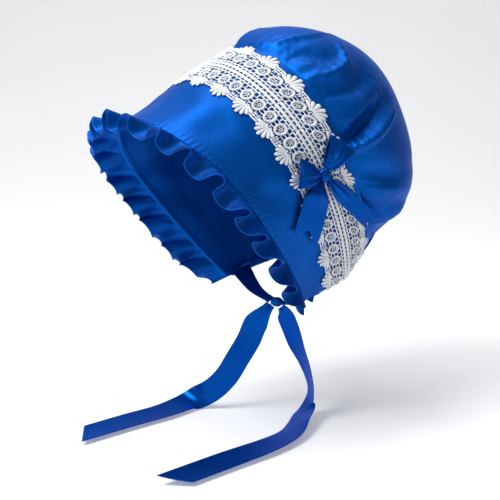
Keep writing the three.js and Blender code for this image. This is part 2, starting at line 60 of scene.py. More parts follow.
# The cap is drawn from three arches: the rim, the middle of the lace and the crown's seam. chord is the gap
# between an arch's corners, lean its slant back in degrees, and widest the share of its height at which it
# is widest.
RIM = dict(width=181, chord=126, height=205, lean=39, widest=0.6, back=0, lift=0)
BAND = dict(width=184, chord=112, height=218, lean=29, widest=0.57, back=52, lift=14)
SEAM = dict(width=187, chord=84, height=216, lean=27.5, widest=0.54, back=73, lift=25)
BAND_BEND = 12.0

LACE_WIDTH = 66.0
LACE_FANS = 20
SEAM_ACROSS = LACE_WIDTH / 2 + 1.5
LACE_TOP = 2.1

BRIM_THICKNESS, BRIM_HOLLOW = 2.0, 2.0
SEAM_GAP = 0.3
CROWN_THICKNESS = 1.4
CROWN_BACK, CROWN_MIDDLE, CROWN_HALF_WIDTH = 138.0, 128.0, 74.0
CROWN_RISE, CROWN_SAG, CROWN_SWELL, CROWN_PUFF = 104.0, 60.0, 0.5, 52.0
NAPE_BACK, NAPE_LIFT, NAPE_STAND = 98.0, 32.0, 16.0
FLANGE_DEPTH, FLANGE_HEIGHT, NAPE_HEM = 9.5, 0.38, 3.0
CROWN_STEPS, NAPE_STEPS, CROWN_ROWS = 360, 60, 104

RUFFLE_DEPTH, RUFFLE_FLUTES, RUFFLE_SWING, RUFFLE_THICKNESS = 25.0, 19, 8.5, 0.8
RUFFLE_OVERHANG, RUFFLE_WIDER, RUFFLE_ALLOWANCE = 0.075, -0.09, 5.0
RUFFLE_TOP_FLARE, RUFFLE_LEFT_FLARE, RUFFLE_RIGHT_FLARE, RUFFLE_END = 33.0, 42.0, 27.0, 0.55

RIBBON_THICKNESS = 0.9
BOW_RIBBON, TIE_RIBBON = 25.0, 22.0
BOW_PLACE, BOW_AHEAD, BOW_TILT = 0.775, 2.8, 10.0
BOW_LOOP_LENGTH, BOW_LOOP_HEIGHT = 29.0, 11.0
BOW_TAIL_LENGTH, BOW_NOTCH = 55.0, 11.0
BOW_KNOT = (10.0, 12.0, 9.0)
TIE_ROOT_BACK, TIE_KNOT_ASIDE, TIE_KNOT_AHEAD, TIE_KNOT_DROP = 16.0, 24.0, 2.0, 7.0
TIE_KNOT = (12.0, 9.0, 9.0)
TAIL_DROP, TAIL_REACH, TAIL_SPREAD = 99.0, 172.0, 80.0

# Where the camera stands, from the middle of the line between the rim's corners, and which way it looks
CAMERA_PLACE = (803.1, -556.1, 217.1)
CAMERA_AZIMUTH, CAMERA_ELEVATION = 56.03, 10.47
CAMERA_FOCAL_PIXELS, PHOTO_PIXELS, SENSOR_WIDTH = 1087.0, 500.0, 36.0


# Number helpers

def smooth(value, low, high):
    part = np.clip((value - low) / (high - low), 0, 1)
    return part * part * (3 - 2 * part)


def lerp(start, end, part):
    return start + (end - start) * part


def unit(vectors):
    return vectors / np.maximum(np.linalg.norm(vectors, axis=-1, keepdims=True), 1e-9)


def bump(value, width):
    return np.exp(-(value / width) ** 2)


def joined(*axes):
    """Points from their coordinates, each of which may be one number for all."""
    return np.stack(np.broadcast_arrays(*axes), -1)


def through(points, places):
    """A smooth curve through points. places run from 0 to 1 and count the points evenly."""
    points = np.asarray(points, float)
    last = len(points) - 1
    place = np.clip(places, 0, 1) * last
    index = np.minimum(place.astype(int), last - 1)
    part = (place - index)[:, None]
    padded = np.concatenate([[2 * points[0] - points[1]], points, [2 * points[-1] - points[-2]]])
    before, start, end, after = (padded[index + k] for k in range(4))
    return 0.5 * (2 * start + (end - before) * part
                  + (2 * before - 5 * start + 4 * end - after) * part ** 2
                  + (3 * start - before - 3 * end + after) * part ** 3)


# A cloth's edge rounds over in a few rows: how far in they lie, in thicknesses of the cloth, and how full
# the cloth is there
EDGE_INSETS = np.array([0, 0.067, 0.25, 0.5])
EDGE_SHARES = np.array([0, 0.5, 0.87])
EDGE_ROWS = len(EDGE_SHARES)


def hemmed_steps(count, length, thickness):
    """Places from 0 to 1 with extra rows at both ends, where a cloth's edge rounds over."""
    round_over = EDGE_INSETS * thickness / length
    inner = np.linspace(round_over[-1], 1 - round_over[-1], count)
    return np.concatenate([round_over[:-1], inner, 1 - round_over[:-1][::-1]])


def edge_round(count):
    """How full a cloth is in each row: nothing at the edge rows and its whole thickness inside."""
    share = np.ones(count)
    share[:EDGE_ROWS] = EDGE_SHARES
    share[-EDGE_ROWS:] = EDGE_SHARES[::-1]
    return share


# The cap's own surfaces

def arch_points(arch, share):
    """Points of a horseshoe arch. share is -1 at the wearer's right corner and 1 at the left."""
    end = math.pi - math.asin(arch["chord"] / arch["width"])
    turn = share * end
    low = arch["height"] * arch["widest"]
    radius = np.where(np.cos(turn) > 0, arch["height"] - low, low / -math.cos(end))
    rise = low + radius * np.cos(turn)
    lean = math.radians(arch["lean"])
    return joined(arch["width"] / 2 * np.sin(turn), arch["back"] - rise * math.sin(lean),
                  arch["lift"] + rise * math.cos(lean))


def run_along(points):
    """How far along their path each of the points lies."""
    return np.concatenate([[0], np.cumsum(np.linalg.norm(np.diff(points, axis=0), axis=1))])


def even_shares(arch, places):
    """Shares of the arch at places from 0 to 1 along its length."""
    fine = np.linspace(-1, 1, 4001)
    length = run_along(arch_points(arch, fine))
    return np.interp(places * length[-1], length, fine)


def path_length(points):
    return float(np.linalg.norm(np.diff(points, axis=0), axis=1).sum())


def arch_length(arch):
    return path_length(arch_points(arch, np.linspace(-1, 1, 2001)))


BAND_LENGTH = arch_length(BAND)
RIM_LENGTH = arch_length(RIM)
FAN = BAND_LENGTH / LACE_FANS


def rulings(share):
    """The straight lines of the brim's cloth from the rim to the seam, one for each share."""
    middle = arch_points(BAND, share)
    to_rim = arch_points(RIM, share) - middle
    forward = unit(to_rim)
    backward = unit(arch_points(SEAM, share) - middle)
    nudge = 0.01
    ahead = arch_points(BAND, np.minimum(share + nudge, 1))
    tangent = unit(ahead - arch_points(BAND, np.maximum(share - nudge, -1)))
    return dict(
        middle=middle, forward=forward, backward=backward, tangent=tangent,
        front_normal=unit(np.cross(forward, tangent)), back_normal=unit(np.cross(tangent, backward)),
        length=np.linalg.norm(to_rim, axis=-1),
    )


def band_lines(place):
    """The same lines at places from 0 to 1 along the band."""
    return rulings(even_shares(BAND, place))


def cloth(place, across, height):
    """Points over the brim's cloth. place runs from 0 to 1 along the band, across is measured from its
    middle, less than 0 towards the rim, and height stands off the outer face."""
    place, across, height = np.broadcast_arrays(place, across, height)
    line = band_lines(place)
    part = np.clip((across + BAND_BEND) / (2 * BAND_BEND), 0, 1)
    ahead = np.where(across < -BAND_BEND, -across, BAND_BEND * (1 - part) ** 2)
    behind = np.where(across > BAND_BEND, across, BAND_BEND * part ** 2)
    normal = unit(line["front_normal"] * (1 - part)[..., None] + line["back_normal"] * part[..., None])
    room = line["length"] - LACE_WIDTH / 2
    out = np.clip((-across - LACE_WIDTH / 2) / room, 0, 1)
    sink = BRIM_HOLLOW * np.sin(math.pi * out) ** 2 * smooth(room, 0, LACE_WIDTH)
    return (line["middle"] + line["forward"] * ahead[..., None] + line["backward"] * behind[..., None]
            + normal * (height - sink)[..., None])


# The origin is where the head touches the cap's inside, at the top of the crown seam
HEAD_SEAT = cloth(0.5, SEAM_ACROSS, -BRIM_THICKNESS)


def in_frame(points):
    return (points - HEAD_SEAT) / 1000


# Meshes

def grid_normals(points, ring=False):
    """Unit normals of a grid of points, where rows run up and columns run right."""
    if ring:
        padded = np.concatenate([points[:, -1:], points, points[:, :1]], 1)
        aside = padded[:, 2:] - padded[:, :-2]
    else:
        aside = np.gradient(points, axis=1)
    return unit(np.cross(aside, np.gradient(points, axis=0)))


def put_in_scene(name, data):
    made = bpy.data.objects.new(name, data)
    bpy.context.scene.collection.objects.link(made)
    return made


def add_object(name, points, faces, finish, places):
    """A piece of the cap, without the points that none of its faces uses. places gives each point's own
    place on the flat cloth in metres."""
    used = np.unique([corner for face in faces for corner in face])
    renumber = np.full(len(points), -1)
    renumber[used] = np.arange(len(used))
    mesh = bpy.data.meshes.new(name)
    mesh.from_pydata(in_frame(points[used]).tolist(), [], [renumber[face].tolist() for face in faces])
    mesh.materials.append(finish)
    mesh.shade_smooth()
    layer = mesh.uv_layers.new(name="cloth")
    corners = np.empty(len(mesh.loops), dtype=np.int64)
    mesh.loops.foreach_get("vertex_index", corners)
    layer.data.foreach_set("uv", places[used][corners].astype(np.float32).ravel())
    made = put_in_scene(name, mesh)
    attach(made, "root")
    return made


def grid_quads(index):
    """Four corners for each face between the neighbours of a table of point numbers."""
    return joined(index[:-1, :-1], index[:-1, 1:], index[1:, 1:], index[1:, :-1]).reshape(-1, 4)


def grid_faces(index, ring=False):
    """The same as a list, without the corners that a pole repeats."""
    table = np.concatenate([index, index[:, :1]], 1) if ring else index
    faces = [list(dict.fromkeys(quad)) for quad in grid_quads(table).tolist()]
    return [face for face in faces if len(face) > 2]


def cloth_object(name, middle, thickness, finish, places, ring=False, pole=False, fullness=1.0):
    """A closed cloth of even thickness round a grid of points, with rounded edges.

    ring joins its last column to its first, and pole gathers its last row into one point."""
    rows, columns = middle.shape[:2]
    row_round = edge_round(rows)
    if pole:
        row_round[-EDGE_ROWS:] = 1
    full = np.ones((rows, columns)) * fullness * row_round[:, None]
    if not ring:
        full = full * edge_round(columns)[None, :]
    offset = grid_normals(middle, ring) * (full * thickness / 2)[..., None]
    points = np.concatenate([(middle + offset).reshape(-1, 3), (middle - offset).reshape(-1, 3)])
    outer = np.arange(rows * columns).reshape(rows, columns)
    inner = np.where(full == 0, outer, outer + rows * columns)
    if pole:
        outer[-1] = outer[-1, 0]
        inner[-1] = inner[-1, 0]
    faces = grid_faces(outer, ring) + grid_faces(inner[::-1], ring)
    return add_object(name, points, faces, finish, np.concatenate([places.reshape(-1, 2)] * 2))


def tube_table(path, radius, sides, up=(0, 0, 1), flat=1.0):
    """Rings of points round a path of points. flat squeezes them along up."""
    onward = unit(np.gradient(path, axis=0))
    aside = unit(np.cross(onward, np.broadcast_to(up, path.shape)))
    over = np.cross(aside, onward)
    turn = FULL_TURN * np.arange(sides) / sides
    radius = np.broadcast_to(radius, len(path))
    ring = (aside[:, None] * np.cos(turn)[None, :, None]
            + over[:, None] * np.sin(turn)[None, :, None] * flat)
    return path[:, None] + ring * radius[:, None, None]


class Parts:
    """Many small closed bodies gathered into one mesh."""

    def __init__(self):
        self.points = []
        self.faces = []
        self.places = []
        self.count = 0

    def add(self, points, faces, places):
        self.faces.append(faces + self.count)
        self.points.append(points)
        self.places.append(places)
        self.count += len(points)

    def add_tube(self, path, radius, sides=6, up=(0, 0, 1), flat=1.0, closed=False):
        """A thread along a path, with its ends drawn to a point where it isn't closed."""
        if closed:
            around = np.concatenate([path[-1:], path, path[:1]])
            rings = tube_table(around, radius, sides, up, flat)[1:-1]
        else:
            rings = tube_table(path, radius, sides, up, flat)
        index = np.arange(len(path) * sides).reshape(-1, sides)
        table = np.concatenate([index, index[:, :1]], 1)
        quads = grid_quads(np.concatenate([table, table[:1]]) if closed else table)
        run = run_along(path) / 1000
        points = rings.reshape(-1, 3)
        places = joined(run[:, None], np.arange(sides) / sides).reshape(-1, 2)
        if not closed:
            first, last = index[0], index[-1]
            caps = [joined(index.size, np.roll(first, -1), first, first),
                    joined(index.size + 1, last, np.roll(last, -1), np.roll(last, -1))]
            points = np.concatenate([points, path[[0, -1]]])
            quads = np.concatenate([quads, *caps])
            places = np.concatenate([places, [[0, 0], [run[-1], 0]]])
        self.add(points, quads, places)

    def add_bar(self, start, end, radius, height, sides=5, steps=3, rise=0.0, flat=1.0):
        """A straight thread between two places of the flat lace. rise lifts its middle."""
        part = np.linspace(0, 1, steps)
        way = lerp(np.array(start), np.array(end), part[:, None])
        path = np.concatenate([way, (height + rise * np.sin(math.pi * part))[:, None]], 1)
        self.add_tube(path, radius, sides, flat=flat)

    def whole(self):
        return (np.concatenate(table) for table in (self.points, self.faces, self.places))

    def object(self, name, finish, shape=lambda points: points):
        points, faces, places = self.whole()
        faces = [list(dict.fromkeys(face)) for face in faces.tolist()]
        return add_object(name, shape(points), faces, finish, places)


# Finishes

class Value:
    """A value that changes over a surface. Sums written with it add their own nodes."""

    def __init__(self, finish, socket):
        self.finish = finish
        self.socket = socket

    def math(self, operation, second=0.0):
        return self.finish.node("ShaderNodeMath", dict(operation=operation), {0: self, 1: second})

    def __add__(self, other):
        return self.math("ADD", other)

    def __mul__(self, other):
        return self.math("MULTIPLY", other)

    def sine(self):
        return self.math("SINE")


class Finish:
    """One material, built from a Principled shader."""

    def __init__(self, name, **fixed):
        self.material = bpy.data.materials.new(name)
        self.material.use_nodes = True
        self.tree = self.material.node_tree
        self.shader = self.tree.nodes["Principled BSDF"]
        for label, value in fixed.items():
            self.set(label.replace("_", " "), value)

    def set(self, label, value):
        socket = self.shader.inputs[label]
        if isinstance(value, Value):
            self.tree.links.new(value.socket, socket)
        else:
            socket.default_value = value

    def node(self, kind, settings=None, sockets=None, output=0):
        made = self.tree.nodes.new(kind)
        for label, value in (settings or {}).items():
            setattr(made, label, value)
        for label, value in (sockets or {}).items():
            if isinstance(value, Value):
                self.tree.links.new(value.socket, made.inputs[label])
            else:
                made.inputs[label].default_value = value
        return Value(self, made.outputs[output])

    def cloth_place(self):
        return self.node("ShaderNodeUVMap", dict(uv_map="cloth"))

    def part(self, vector, axis):
        return self.node("ShaderNodeSeparateXYZ", sockets={0: vector}, output=axis)

    def noise(self, scale, detail):
        place = self.node("ShaderNodeTexCoord", output="Object")
        sockets = {"Vector": place, "Scale": scale, "Detail": detail}
        return self.node("ShaderNodeTexNoise", sockets=sockets)

    def ramp(self, value, *stops):
        """Blends from one stop's colour to the other's as value rises between their places."""
        made = self.node("ShaderNodeValToRGB", sockets={0: value})
        for element, stop in zip(made.socket.node.color_ramp.elements, stops):
            element.position, element.color = stop
        return made

    def relief(self, height, depth, strength):
        sockets = {"Height": height, "Distance": depth, "Strength": strength}
        return self.node("ShaderNodeBump", sockets=sockets)


# Metres from one yarn of the satin to the next, and how deep their relief is
WARP_PITCH, WEFT_PITCH, YARN_DEPTH = 0.00042, 0.00075, 0.00003
# Metres for one turn of a thread's twist, how deep its relief is, and the share of its colour left in the
# painted shade of its hollows
LACE_TWIST, SEWING_TWIST, TWIST_DEPTH, THREAD_SHADE = 0.0011, 0.0009, 0.00012, 0.80


def satin_finish(name, light, deep, roughness, gloss):
    """Polyester satin: floats of smooth yarn, so that it is glossy, with a soft cloudy shade."""
    finish = Finish(name, Metallic=gloss, Sheen_Weight=0.03, Sheen_Roughness=0.3,
                    Sheen_Tint=(0.05, 0.35, 1.0, 1.0), Specular_IOR_Level=0.15,
                    Specular_Tint=(0.05, 0.42, 1.0, 1.0))
    clouds = finish.noise(22.0, 4.0)
    finish.set("Base Color", finish.ramp(clouds, (0.3, deep), (0.7, light)))
    place = finish.cloth_place()
    along = finish.part(place, 0)
    across = finish.part(place, 1)
    warp = (across * (FULL_TURN / WARP_PITCH)).sine()
    weft = (along * (FULL_TURN / WEFT_PITCH) + warp * 0.8).sine()
    slub = finish.noise(900.0, 2.0)
    yarn = warp * 0.5 + weft * 0.35 + slub * 0.9
    finish.set("Roughness", finish.noise(140.0, 3.0) * 0.10 + (roughness - 0.05))
    finish.set("Normal", finish.relief(yarn, YARN_DEPTH, 0.35))
    return finish.material


def thread_finish(name, colour, twist):
    """Spun cotton: matt, with the slant of its twist and painted shade in the hollows of its relief."""
    finish = Finish(name, Sheen_Weight=0.25, Sheen_Roughness=0.5, Specular_IOR_Level=0.25)
    place = finish.cloth_place()
    slant = finish.part(place, 0) * (FULL_TURN / twist) + finish.part(place, 1) * FULL_TURN
    ply = slant.sine()
    fluff = finish.noise(1400.0, 3.0)
    # The colour varies at random, and painted shade darkens it towards the deep colour where the twist and
    # fluff relief lies low.
    shade = finish.noise(60.0, 2.0) * 0.6 + ply * 0.12 + fluff * 0.3
    deep = tuple(channel * THREAD_SHADE for channel in colour[:3]) + (1,)
    finish.set("Base Color", finish.ramp(shade, (0.25, deep), (0.6, colour)))
    finish.set("Roughness", finish.noise(300.0, 2.0) * 0.15 + 0.68)
    finish.set("Normal", finish.relief(ply * 0.6 + fluff * 0.6, TWIST_DEPTH, 0.6))
    return finish.material


def floor_finish():
    """Matt white paper, which glows a little so that its far side stays pale."""
    finish = Finish("studio_paper", Specular_IOR_Level=0.2, Emission_Color=(1, 1, 1, 1),
                    Emission_Strength=0.26)
    grain = finish.noise(4.0, 2.0)
    paper = finish.ramp(grain, (0.3, (0.86, 0.865, 0.87, 1)), (0.7, (0.88, 0.88, 0.885, 1)))
    finish.set("Base Color", paper)
    finish.set("Roughness", grain * 0.05 + 0.85)
    return finish.material


SATIN = satin_finish("royal_blue_satin", (0.0018, 0.092, 0.440, 1), (0.0014, 0.074, 0.370, 1), 0.40, 0.5)
RIBBON = satin_finish("ribbon_satin", (0.0012, 0.078, 0.410, 1), (0.0008, 0.060, 0.340, 1), 0.31, 0.66)
COTTON = thread_finish("lace_cotton", (0.88, 0.91, 0.95, 1), LACE_TWIST)
SEWING = thread_finish("sewing_thread", (0.010, 0.150, 0.640, 1), SEWING_TWIST)


# Camera and studio

def aim(made, place, way):
    """Stands a camera or a light at a place and turns it to look along way."""
    made.location = place
    made.rotation_mode = "QUATERNION"
    made.rotation_quaternion = way.to_track_quat("-Z", "Y")


def make_camera():
    azimuth, elevation = math.radians(CAMERA_AZIMUTH), math.radians(CAMERA_ELEVATION)
    back = Vector((math.sin(azimuth) * math.cos(elevation), -math.cos(azimuth) * math.cos(elevation),
                   math.sin(elevation)))
    data = bpy.data.cameras.new("camera")
    data.sensor_width = SENSOR_WIDTH
    data.sensor_fit = "HORIZONTAL"
    data.lens = SENSOR_WIDTH * CAMERA_FOCAL_PIXELS / PHOTO_PIXELS
    data.clip_end = 50
    bpy.context.scene.camera = put_in_scene("camera", data)
    aim(bpy.context.scene.camera, in_frame(CAMERA_PLACE), -back)


# The studio, in metres: the paper's half width, where it starts to curve up behind the cap, how wide that
# curve is and how high the paper goes on above it; then the lights with their place, size and watts
FLOOR_HALF, FLOOR_CURVE_AT, FLOOR_CURVE, FLOOR_ABOVE, FLOOR_STEPS = 3.0, 0.9, 1.6, 2.6, 24
FLOOR_GAP = 0.001
SKY_COLOUR, SKY_STRENGTH = (0.93, 0.96, 1.0, 1), 0.25
LIGHT_AIM = (0, 0.03, -0.1)
LIGHTS = [
    ("key_light", (0.0, -0.92, 0.98), (0.7, 0.7), 18),
    ("top_light", (-0.35, -0.1, 1.5), (1.4, 0.8), 15),
]


def make_light(name, place, size, power):
    data = bpy.data.lights.new(name, "AREA")
    data.shape = "RECTANGLE"
    data.size, data.size_y = size
    data.energy = power
    aim(put_in_scene(name, data), place, Vector(LIGHT_AIM) - Vector(place))


def make_floor():
    """Studio paper that lies under the cap and curves up behind it, square to the camera."""
    turn = math.pi / 2 * np.arange(FLOOR_STEPS + 1)[:, None] / FLOOR_STEPS
    run = np.concatenate([[[-FLOOR_HALF - 1]], FLOOR_CURVE_AT + FLOOR_CURVE * np.sin(turn)])
    rise = np.concatenate([[[0]], FLOOR_CURVE * (1 - np.cos(turn))])
    run, rise = np.append(run, run[-1:], 0), np.append(rise, [[FLOOR_ABOVE + FLOOR_CURVE]], 0)
    side = np.array([-FLOOR_HALF, FLOOR_HALF])
    azimuth = math.radians(CAMERA_AZIMUTH)
    ahead, aside = math.cos(azimuth), math.sin(azimuth)
    points = joined(ahead * side - aside * run, aside * side + ahead * run, CAD_BOX[0][2] - FLOOR_GAP + rise)
    mesh = bpy.data.meshes.new("floor")
    mesh.from_pydata(points.reshape(-1, 3).tolist(), [], grid_faces(np.arange(2 * len(run)).reshape(-1, 2)))
    mesh.materials.append(floor_finish())
    mesh.shade_smooth()
    put_in_scene("floor", mesh)


def make_studio():
    bpy.context.scene.view_settings.view_transform = "Standard"
    make_floor()
    world = bpy.data.worlds.new("studio")
    world.use_nodes = True
    sky = world.node_tree.nodes["Background"]
    sky.inputs["Color"].default_value = SKY_COLOUR
    sky.inputs["Strength"].default_value = SKY_STRENGTH
    bpy.context.scene.world = world
    for light in LIGHTS:
        make_light(*light)


# Brim

# Gathers and a groove run along the rim, and the topstitching lies in the groove
PUCKERS, PUCKER_HEIGHT, PUCKER_INSET, PUCKER_WIDTH = 88, 0.16, 3.0, 5
STITCH_INSET, STITCH_PITCH, STITCH_HALF, STITCH_RADIUS = 3.6, 3.0, 1.05, 0.22
GROOVE_DEPTH, GROOVE_WIDTH = 0.28, 0.7
STITCHED_FROM, STITCHED_SHARE = 0.03, 0.94
STITCH_ALONG = np.array([-1, -0.75, -0.3, 0.3, 0.75, 1])
STITCH_HEIGHTS = np.array([-0.32, -0.02, 0.12, 0.12, -0.02, -0.32])


def brim_relief(place, across, room):
    """Heights of the brim's own folds over its smooth cloth, nothing under the lace."""
    out = np.clip((-across - LACE_WIDTH / 2) / room, 0, 1)
    free = smooth(out, 0, 0.25)
    from_rim = (1 - out) * room
    slow = (0.8 * np.sin(FULL_TURN * (place * 7.3 + 0.15 * out))
            + 0.5 * np.sin(FULL_TURN * place * 12.1 + 1))
    pucker = PUCKER_HEIGHT * np.sin(FULL_TURN * place * PUCKERS) * bump(from_rim - PUCKER_INSET, PUCKER_WIDTH)
    groove = -GROOVE_DEPTH * bump(from_rim - STITCH_INSET, GROOVE_WIDTH)
    return free * (slow * smooth(from_rim, 0, 25)) + (pucker + groove) * smooth(room, 8, 20)


def make_brim():
    spots = hemmed_steps(414, BAND_LENGTH, BRIM_THICKNESS)[None, :]
    to_rim = band_lines(spots[0])["length"][None, :]
    across = lerp(-to_rim, SEAM_ACROSS, hemmed_steps(64, 120, BRIM_THICKNESS)[:, None])
    spots = np.broadcast_to(spots, across.shape)
    height = -BRIM_THICKNESS / 2 + brim_relief(spots, across, to_rim - LACE_WIDTH / 2)
    places = joined(spots * BAND_LENGTH, across) / 1000
    brim = cloth_object("brim_cloth", cloth(spots, across, height), BRIM_THICKNESS, SATIN, places)
    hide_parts("brim")


def make_rim_stitches():
    stitches = Parts()
    count = int(BAND_LENGTH * STITCHED_SHARE / STITCH_PITCH)
    for k in range(count):
        place = STITCHED_FROM + STITCHED_SHARE * (k + 0.5) / count
        length = float(band_lines(place)["length"])
        across = -length + STITCH_INSET
        spots = place + STITCH_HALF / BAND_LENGTH * STITCH_ALONG
        path = cloth(spots, across, STITCH_HEIGHTS + brim_relief(spots, across, length - LACE_WIDTH / 2))
        normal = path[2] - cloth(spots[2], across, -3)
        stitches.add_tube(path, STITCH_RADIUS, 5, up=unit(normal))
    stitches.object("rim_topstitch", SEWING)


# Ruffle

def flute_change(random, low, high, steps):
    """A number for each flute, drawn between low and high and blended from one flute to the next."""
    return np.interp(steps * RUFFLE_FLUTES, np.arange(RUFFLE_FLUTES + 1),
                     random.uniform(low, high, RUFFLE_FLUTES + 1))


# The strip's length before it is gathered, and the gap from the brim's inner face to its allowance
RUFFLE_STRIP = RIM_LENGTH * 1.6
RUFFLE_SEAM = 0.55


def make_ruffle():
    steps = hemmed_steps(RUFFLE_FLUTES * 30, RUFFLE_STRIP, RUFFLE_THICKNESS)
    random = np.random.default_rng(5)
    swing_change = flute_change(random, 0.85, 1.15, steps)
    turn = FULL_TURN * steps * RUFFLE_FLUTES + flute_change(random, -0.7, 0.7, steps)
    share = even_shares(RIM, steps)
    line = rulings(share)
    side_flare = np.where(share > 0, RUFFLE_LEFT_FLARE, RUFFLE_RIGHT_FLARE)
    flare = np.radians(lerp(RUFFLE_TOP_FLARE, side_flare, smooth(np.abs(share), 0, 0.4)))[:, None]
    way = line["forward"] * np.cos(flare) + line["front_normal"] * np.sin(flare)
    face = line["front_normal"] * np.cos(flare) - line["forward"] * np.sin(flare)
    edge = line["middle"] + line["forward"] * line["length"][:, None]

    tucked = RUFFLE_ALLOWANCE - RUFFLE_THICKNESS * EDGE_INSETS
    tucked = np.concatenate([tucked, np.linspace(tucked[-1], 0, 9)[1:]])[:, None]
    under = -lerp(RUFFLE_THICKNESS, BRIM_THICKNESS + RUFFLE_SEAM, smooth(tucked, -0.6, 1.0))
    allowance = edge - line["forward"] * tucked[..., None] + line["front_normal"] * under[..., None]

    depth = hemmed_steps(26, RUFFLE_DEPTH, RUFFLE_THICKNESS)[EDGE_ROWS:, None]
    full = lerp(RUFFLE_END, 1, smooth(1 - np.abs(share), 0, 0.1))
    swing = RUFFLE_SWING * depth ** 0.75 * np.sin(turn) * swing_change
    gather = 0.3 * np.sin(4 * turn + 1.3) * bump(depth - 0.1, 0.12)
    overhang = RUFFLE_OVERHANG * np.sin(2 * turn) + RUFFLE_WIDER * np.cos(turn)
    lean = -(RIM_LENGTH / RUFFLE_FLUTES) * depth ** 1.1 * overhang * full
    curl = 1.4 * depth ** 3 * np.cos(2 * turn)
    reach = depth * full * RUFFLE_DEPTH + curl
    root = edge + way * (SEAM_GAP + RUFFLE_THICKNESS / 2) - line["front_normal"] * RUFFLE_THICKNESS
    flutes = (root + way * reach[..., None] + face * ((swing + gather) * full)[..., None]
              + line["tangent"] * lean[..., None])
    middle = np.concatenate([allowance, flutes])
    down = np.concatenate([-tucked, depth * RUFFLE_DEPTH])
    hem = 1 + 0.5 * bump(RUFFLE_DEPTH - 1.3 - down, 0.9)
    places = joined(steps * RUFFLE_STRIP, down) / 1000
    ruffle = cloth_object("ruffle_cloth", middle, RUFFLE_THICKNESS, SATIN, places, fullness=hem)
    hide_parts("brim_ruffle")


# Crown

# Long soft folds of the crown: the width and depth of each, where a depth under 0 is a valley, and its route
# in places along the band and shares of the way from the seam to the middle of the back
CROWN_FOLDS = [
    (3.2, 2.4, [(0.520, 0.05), (0.547, 0.08), (0.556, 0.16), (0.560, 0.28), (0.547, 0.46)]),
    (8, -3.6, [(0.575, 0.05), (0.592, 0.14), (0.605, 0.22), (0.600, 0.32)]),
    (3.4, 3.8, [(0.626, 0.00), (0.629, 0.10), (0.630, 0.20), (0.620, 0.30), (0.595, 0.36), (0.570, 0.37)]),
    (9, -7.0, [(0.650, 0.03), (0.654, 0.16), (0.648, 0.30), (0.625, 0.42)]),
    (7, -12.0, [(0.719, 0.01), (0.712, 0.10), (0.700, 0.20), (0.684, 0.32), (0.664, 0.46)]),
    (3.0, 6.0, [(0.733, 0.02), (0.727, 0.12), (0.718, 0.23), (0.704, 0.34), (0.684, 0.48)]),
    (9, -3.5, [(0.760, 0.04), (0.762, 0.20), (0.770, 0.36)]),
    (7, 2.2, [(0.795, 0.10), (0.800, 0.26), (0.822, 0.42), (0.85, 0.62)]),
    (10, -4.8, [(0.825, 0.12), (0.830, 0.35), (0.850, 0.60)]),
    (9, -4.2, [(0.900, 0.05), (0.888, 0.32), (0.875, 0.60)]),
    (10, -5.3, [(0.460, 0.05), (0.445, 0.27), (0.430, 0.50)]),
    (5, 2.6, [(0.480, 0.03), (0.470, 0.20), (0.462, 0.40)]),
    (11, -6.4, [(0.380, 0.05), (0.393, 0.30), (0.405, 0.55)]),
    (5, 3.6, [(0.350, 0.02), (0.358, 0.22), (0.372, 0.42)]),
    (11, -8.0, [(0.285, 0.02), (0.305, 0.34), (0.325, 0.66)]),
    (5, 3.8, [(0.262, 0.02), (0.278, 0.26), (0.300, 0.50)]),
    (10, -5.0, [(0.200, 0.12), (0.185, 0.42), (0.170, 0.72)]),
    (9, -4.2, [(0.110, 0.05), (0.123, 0.32), (0.135, 0.60)]),
]


# The crown's cloth laid flat: its girth at the seam and its run from there to the middle of the back
CROWN_GIRTH, CROWN_RUN = 700, 190
CROWN_INSIDE = np.array([0, 60.0, CROWN_MIDDLE])


def crown_lines():
    """Where each line of the crown starts, which way it leaves, its place and how far it is nape."""
    place = np.linspace(0, 1, CROWN_STEPS + 1)
    share = 2 * place - 1
    line = band_lines(place)
    bend = smooth(np.abs(share), 0.72, 0.96)
    clear = SEAM_GAP + CROWN_THICKNESS / 2 * np.maximum(bend, CROWN_SWELL)
    start = cloth(place, SEAM_ACROSS + clear, lerp(FLANGE_HEIGHT, -CROWN_THICKNESS / 2, bend))
    tuck = joined(-0.8 * np.sign(share), 0.55, 0.25)
    leave = unit(line["backward"] + CROWN_SWELL * line["back_normal"])
    leave = unit(lerp(leave, tuck, bend[:, None]))
    part = np.arange(1, NAPE_STEPS) / NAPE_STEPS
    turn = math.pi / 2 * (1 - 2 * part)
    corner = start[-1]
    nape = joined(corner[0] * np.sin(turn), lerp(corner[1], NAPE_BACK, np.cos(turn)),
                  lerp(corner[2], NAPE_LIFT, np.cos(turn)))
    nape_leave = unit(joined(0.5 * np.sin(turn), 0.5, 0.7))
    return (np.concatenate([start, nape]), np.concatenate([leave, nape_leave]),
            np.concatenate([place, 1 + part]), np.concatenate([bend, np.ones(len(part))]))


def crown_bare(rises, start, leave, nape):
    """The crown's smooth middle surface, in rows from the seam to the middle of the back."""
    centre = np.array([0, CROWN_BACK, CROWN_MIDDLE])
    turn = np.arctan2(start[:, 2] - CROWN_MIDDLE, start[:, 0])
    reach = np.where(turn > 0, CROWN_RISE, CROWN_SAG)
    shoulder = centre + joined(CROWN_HALF_WIDTH * np.cos(turn), 0, reach * np.sin(turn))
    first = start + leave * lerp(CROWN_PUFF, NAPE_STAND, nape)[:, None]
    t = (rises ** 1.1)[:, None, None]
    return (start * (1 - t) ** 3 + first * 3 * t * (1 - t) ** 2 + shoulder * 3 * t * t * (1 - t)
            + centre * t ** 3)


